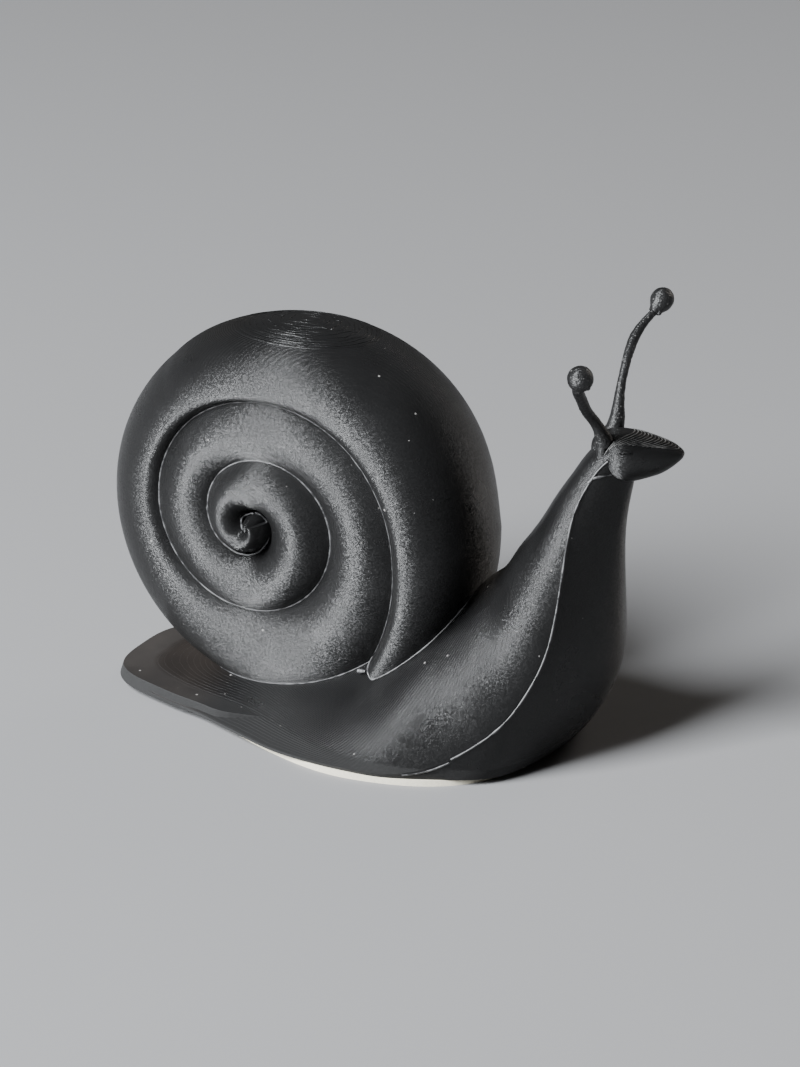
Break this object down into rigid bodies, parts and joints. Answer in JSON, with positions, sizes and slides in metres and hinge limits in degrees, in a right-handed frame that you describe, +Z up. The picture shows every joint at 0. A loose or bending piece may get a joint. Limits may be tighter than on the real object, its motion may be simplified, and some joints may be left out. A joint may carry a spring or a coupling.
{
  "type": "snail figurine",
  "caption": "Printed snail ornament with a coiled shell, raised neck, two eye stalks and a thin foot pad.",
  "frame": {"origin": "point on the pad's underside, in the snail's middle plane and below the rear half of the shell's axis", "axes": "+X forwards from tail to beak, +Y to the snail's left, +Z up"},
  "size_m": [0.085, 0.0474, 0.0628],
  "materials": {
    "body_plastic": "silky printed plastic with fine layer lines",
    "shell_plastic": "silky printed plastic with fine layer lines",
    "pin_plastic": "plain",
    "pad_felt": "soft cream"
  },
  "bodies": {
    "root": {"body": "body_plastic", "shell": "shell_plastic", "eye_stalk_left": "body_plastic", "eye_stalk_right": "body_plastic", "shell_pin_front": "pin_plastic", "shell_pin_rear": "pin_plastic", "foot_pad": "pad_felt"}
  },
  "joints": []
}
